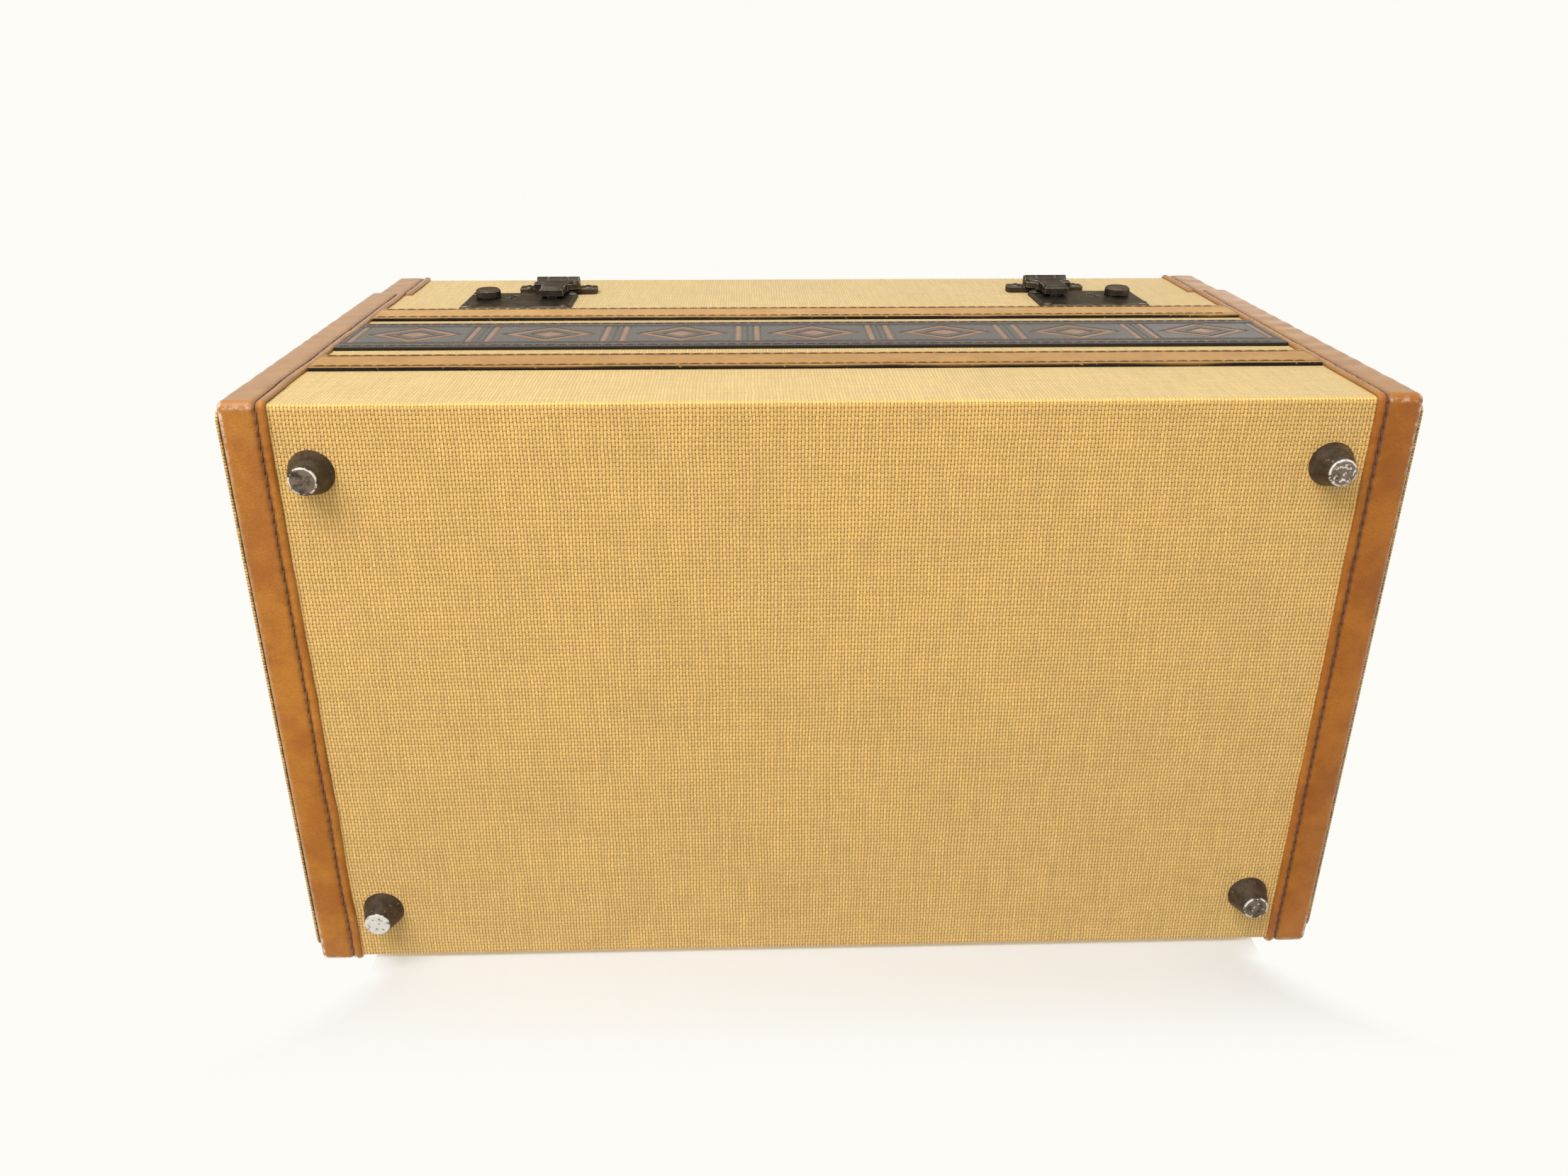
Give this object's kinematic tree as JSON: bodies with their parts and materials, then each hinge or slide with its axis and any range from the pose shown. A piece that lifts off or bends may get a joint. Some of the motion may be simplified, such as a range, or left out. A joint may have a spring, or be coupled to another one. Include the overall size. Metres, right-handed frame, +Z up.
{
  "type": "vanity case",
  "caption": "Boxy travel vanity case in woven canvas with leather bindings and trim, hinged lid with mirror, hasp latches, folding handle and metal feet.",
  "frame": {"origin": "on the ground under the middle of the case's outer box, between the feet", "axes": "+X to the right of the front, +Y to the back, +Z up through the lid; the latches face -Y"},
  "size_m": [0.354, 0.2114, 0.2132],
  "materials": {
    "board_wood": "plain plywood",
    "woven_canvas": "coarse basket-weave canvas",
    "binding_leather": "smooth worn tan",
    "strip_leather": "pale tan with dark dyed edges",
    "band_leather": "embossed slate on brown",
    "handle_leather": "smooth tan, stitched",
    "lining_cloth": "fine twill",
    "antique_metal": "dark antiqued, worn bright on edges",
    "foot_metal": "dark bronze, plating worn off the tips",
    "spring_steel": "plain",
    "mirror_glass": "silvered"
  },
  "bodies": {
    "body": {"back_board": "board_wood", "body_canvas": "woven_canvas", "body_lining": "lining_cloth", "bottom_board": "board_wood", "embossed_band": "band_leather", "feet": "foot_metal", "foot_screws": "spring_steel", "front_board": "board_wood", "hinge_body_rivets": "antique_metal", "hinge_pins": "antique_metal", "left_body_binding": "binding_leather", "left_end_board": "board_wood", "left_end_panel": "woven_canvas", "left_hinge_body_leaf": "antique_metal", "left_lock_case": "antique_metal", "left_lock_plate": "antique_metal", "left_lock_spring": "spring_steel", "lock_plate_rivets": "antique_metal", "lower_trim_strip": "strip_leather", "right_body_binding": "binding_leather", "right_end_board": "board_wood", "right_end_panel": "woven_canvas", "right_hinge_body_leaf": "antique_metal", "right_lock_case": "antique_metal", "right_lock_plate": "antique_metal", "right_lock_spring": "spring_steel", "upper_trim_strip": "strip_leather"},
    "lid": {"handle_bracket_rivets": "antique_metal", "hasp_base_rivets": "antique_metal", "hasp_pins": "antique_metal", "hinge_lid_rivets": "antique_metal", "left_handle_bracket": "antique_metal", "left_hasp_base": "antique_metal", "left_hinge_lid_leaf": "antique_metal", "left_lid_binding": "binding_leather", "left_lid_panel": "woven_canvas", "left_lid_rail": "board_wood", "lid_back_rail": "board_wood", "lid_canvas": "woven_canvas", "lid_front_rail": "board_wood", "lid_lining": "lining_cloth", "lid_top_board": "board_wood", "mirror": "mirror_glass", "mirror_frame": "handle_leather", "right_handle_bracket": "antique_metal", "right_hasp_base": "antique_metal", "right_hinge_lid_leaf": "antique_metal", "right_lid_binding": "binding_leather", "right_lid_panel": "woven_canvas", "right_lid_rail": "board_wood"},
    "left_hasp": {"left_hasp": "antique_metal"},
    "right_hasp": {"right_hasp": "antique_metal"},
    "left_latch_slide": {"left_lock_knob": "antique_metal", "left_lock_bolt": "antique_metal"},
    "right_latch_slide": {"right_lock_knob": "antique_metal", "right_lock_bolt": "antique_metal"},
    "handle": {"handle_grip": "handle_leather", "left_handle_loop": "antique_metal", "right_handle_loop": "antique_metal"}
  },
  "joints": [
    {"name": "lid_hinge", "type": "hinge", "parent": "body", "child": "lid", "pos_m": [0, 0.1033, 0.1679], "axis": [-1, 0, 0], "range_deg": [0, 100]},
    {"name": "left_hasp_swing", "type": "hinge", "parent": "lid", "child": "left_hasp", "pos_m": [-0.0998, -0.1033, 0.1737], "axis": [-1, 0, 0], "range_deg": [0, 120]},
    {"name": "right_hasp_swing", "type": "hinge", "parent": "lid", "child": "right_hasp", "pos_m": [0.0998, -0.1033, 0.1737], "axis": [-1, 0, 0], "range_deg": [0, 120]},
    {"name": "left_knob_slide", "type": "slide", "parent": "body", "child": "left_latch_slide", "axis": [1, 0, 0], "range_m": [0, 0.0034]},
    {"name": "right_knob_slide", "type": "slide", "parent": "body", "child": "right_latch_slide", "axis": [-1, 0, 0], "range_m": [0, 0.0034]},
    {"name": "handle_swing", "type": "hinge", "parent": "lid", "child": "handle", "pos_m": [0, 0.0005, 0.2087], "axis": [1, 0, 0], "range_deg": [0, 180]}
  ]
}
